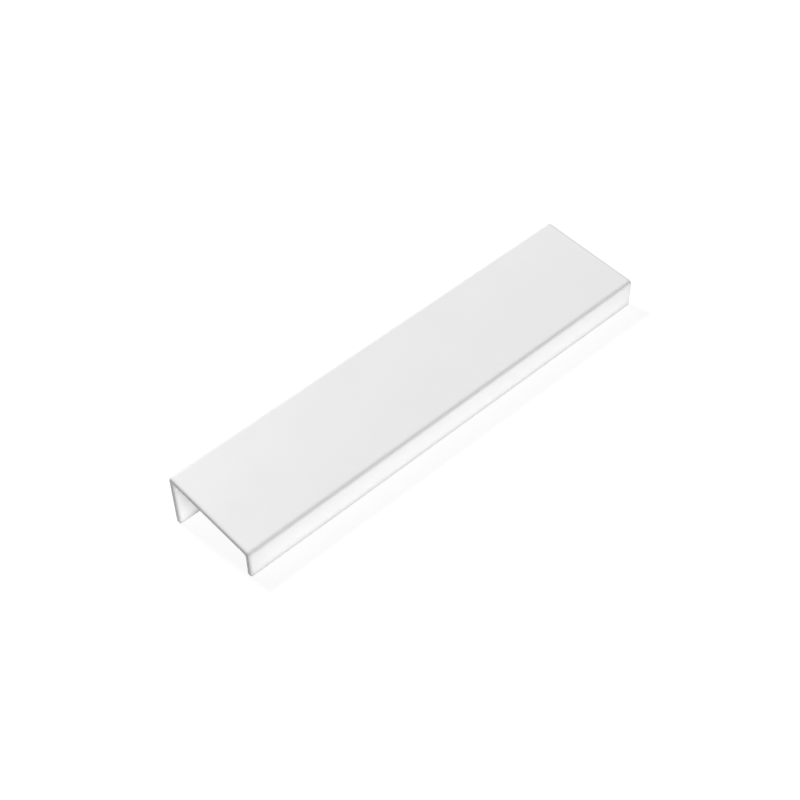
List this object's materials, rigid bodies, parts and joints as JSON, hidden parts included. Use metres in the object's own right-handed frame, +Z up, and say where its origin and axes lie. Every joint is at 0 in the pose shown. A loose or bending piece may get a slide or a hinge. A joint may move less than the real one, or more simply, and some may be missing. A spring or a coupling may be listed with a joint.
{
  "type": "furniture edge pull handle",
  "caption": "J-shaped metal profile handle that hooks over a drawer or door edge, with a tall rear screw flange and a short front finger lip.",
  "frame": {"origin": "middle of the length and of the depth, on the floor that the handle rests on", "axes": "+X along the profile, +Y from the finger lip to the screw flange, +Z up from the floor"},
  "size_m": [0.16, 0.0422, 0.0212],
  "materials": {
    "white_coating": "fine satin white powder coating"
  },
  "bodies": {
    "root": {"handle_profile": "white_coating"}
  },
  "joints": []
}
